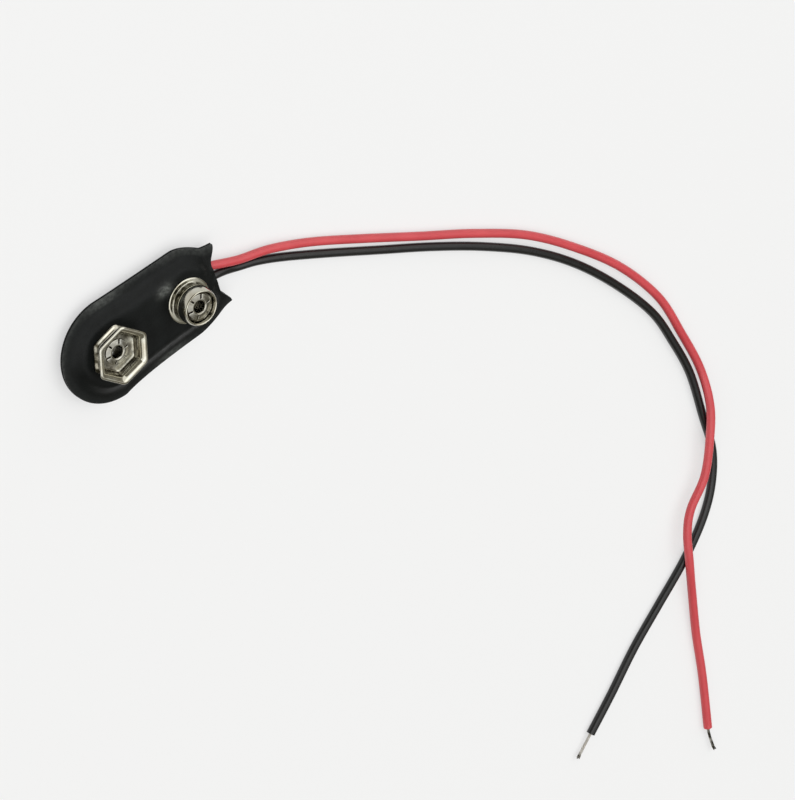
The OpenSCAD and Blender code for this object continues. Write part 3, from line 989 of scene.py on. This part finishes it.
def fibre_board():
    """Brown pressed board with short fibres."""
    material, tree, shader, place = finish_material("fibre_board")
    share = use_group(tree, patches, place, Size=0.8, Low=0.0, High=1.0)
    colour = blend_colours(tree, share, (0.16, 0.085, 0.04), (0.1, 0.052, 0.025))
    tree.links.new(colour, shader.inputs["Base Color"])
    dull = use_group(tree, patches, place, Size=0.5, Low=0.6, High=0.8)
    tree.links.new(dull, shader.inputs["Roughness"])
    fibres = use_group(tree, fine_scratches, place, Length=2.5)
    raise_bumps(tree, shader, fibres, distance=0.02, strength=0.6)
    return material


vinyl = black_vinyl()
plating = plated_metal(
    "nickel_plating", bright=(0.58, 0.575, 0.505), stained=(0.46, 0.43, 0.35), smooth=0.08, rough=0.17
)
rivet_plating = plated_metal(
    "rivet_plating", bright=(0.61, 0.605, 0.56), stained=(0.45, 0.43, 0.365), smooth=0.1, rough=0.24
)
tinned = plated_metal(
    "tinned_copper", bright=(0.68, 0.66, 0.62), stained=(0.52, 0.48, 0.43), smooth=0.26, rough=0.4
)
red_vinyl = lead_vinyl(
    "red_insulation", light=(0.61, 0.070, 0.082), dark=(0.55, 0.055, 0.067), smooth=0.3, rough=0.4
)
black_lead_vinyl = lead_vinyl(
    "black_insulation", light=(0.006, 0.006, 0.0065), dark=(0.004, 0.004, 0.0045), smooth=0.26, rough=0.36
)
solder = grey_solder()
board = fibre_board()


def dress(piece, material):
    piece.data.materials.clear()
    piece.data.materials.append(material)


# Each piece with its finish, the node it stands for and the slot of that node
PIECES = [
    (upper_skin, vinyl, "top_cover", "skin"),
    (lower_skin, vinyl, "back_cover", "skin"),
    (hex_socket, plating, "socket_shell", "plating"),
    (round_stud, plating, "stud_shell", "plating"),
    (socket_rivet, rivet_plating, "socket_rivet", "plating"),
    (stud_rivet, rivet_plating, "stud_rivet", "plating"),
    (red_lead, red_vinyl, "red_lead", "red_insulation"),
    (black_lead, black_lead_vinyl, "black_lead", "black_insulation"),
    (red_strands, tinned, "red_bare_end", "core"),
    (black_strands, tinned, "black_bare_end", "core"),
]
for piece, material, node, slot in PIECES:
    dress(piece, material)
    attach(piece, "root")
    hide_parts(node)

for node, material in (
    ("board", board), ("red_solder", solder), ("black_solder", solder),
    ("red_joint_core", tinned), ("black_joint_core", tinned),
):
    dress(nodes[node], material)

# The floor and the light

scene.view_settings.view_transform = "Standard"
FLOOR_SIZE = 6
FLOOR_GLOW = 0.62
LAMP_AIM = Vector((0.02, -0.04, 0))
OVERHEAD_LIGHT = (1.1, 1.1, 1.08)
ROUND_LIGHT = (0.21, 0.2, 0.165)
BACKDROP = (0.88, 0.88, 0.88)


def rays_that_see(tree):
    """One for rays that show the background: to the camera, in gloss and through glass."""
    path = tree.nodes.new("ShaderNodeLightPath").outputs
    seen = math_node(tree, "MAXIMUM", path["Is Camera Ray"], path["Is Glossy Ray"])
    return math_node(tree, "MAXIMUM", seen, path["Is Transmission Ray"])


def pale_floor():
    """A pale table that keeps the part's shadow and shows a little paler than the light makes it."""
    bpy.ops.object.select_all(action="DESELECT")
    bpy.ops.mesh.primitive_plane_add(size=FLOOR_SIZE)
    floor = bpy.context.object
    floor.name = "floor"
    material = bpy.data.materials.new("pale_table")
    material.use_nodes = True
    tree = material.node_tree
    shader = tree.nodes["Principled BSDF"]
    shader.inputs["Base Color"].default_value = (0.86, 0.862, 0.858, 1)
    shader.inputs["Roughness"].default_value = 0.7
    shader.inputs["Specular IOR Level"].default_value = 0.2
    glow = tree.nodes.new("ShaderNodeEmission")
    glow.inputs["Color"].default_value = (0.892, 0.894, 0.9, 1)
    both = tree.nodes.new("ShaderNodeMixShader")
    tree.links.new(math_node(tree, "MULTIPLY", rays_that_see(tree), FLOOR_GLOW), both.inputs["Fac"])
    tree.links.new(shader.outputs[0], both.inputs[1])
    tree.links.new(glow.outputs[0], both.inputs[2])
    tree.links.new(both.outputs[0], tree.nodes["Material Output"].inputs["Surface"])
    dress(floor, material)


def soft_lamp(name, direction, distance, size, power):
    data = bpy.data.lights.new(name, "AREA")
    data.shape = "SQUARE"
    data.size = size
    data.energy = power
    lamp = bpy.data.objects.new(name, data)
    scene.collection.objects.link(lamp)
    way = Vector(direction).normalized()
    lamp.location = LAMP_AIM + way * distance
    lamp.rotation_euler = way.to_track_quat("Z", "Y").to_euler()


def studio_world():
    """A studio that is bright overhead and dim all round, and pale to the camera past the floor."""
    world = bpy.data.worlds.new("studio")
    scene.world = world
    world.use_nodes = True
    tree = world.node_tree
    tree.nodes.clear()
    way = tree.nodes.new("ShaderNodeSeparateXYZ")
    tree.links.new(tree.nodes.new("ShaderNodeTexCoord").outputs["Generated"], way.inputs["Vector"])
    share = tree.nodes.new("ShaderNodeMapRange")
    share.interpolation_type = "SMOOTHSTEP"
    share.inputs["From Min"].default_value = 0.68
    share.inputs["From Max"].default_value = 0.85
    tree.links.new(way.outputs["Z"], share.inputs["Value"])
    glow = tree.nodes.new("ShaderNodeBackground")
    light = blend_colours(tree, share.outputs[0], ROUND_LIGHT, OVERHEAD_LIGHT)
    tree.links.new(light, glow.inputs["Color"])
    backdrop = tree.nodes.new("ShaderNodeBackground")
    backdrop.inputs["Color"].default_value = (*BACKDROP, 1)
    both = tree.nodes.new("ShaderNodeMixShader")
    path = tree.nodes.new("ShaderNodeLightPath").outputs
    tree.links.new(path["Is Camera Ray"], both.inputs["Fac"])
    tree.links.new(glow.outputs[0], both.inputs[1])
    tree.links.new(backdrop.outputs[0], both.inputs[2])
    leave = tree.nodes.new("ShaderNodeOutputWorld")
    tree.links.new(both.outputs[0], leave.inputs["Surface"])


pale_floor()
studio_world()
soft_lamp("key_lamp", direction=(0.55, 0.5, 0.67), distance=1.4, size=2.0, power=13.5)
soft_lamp("fill_lamp", direction=(-0.62, 0.1, 0.78), distance=1.6, size=1.6, power=8.5)
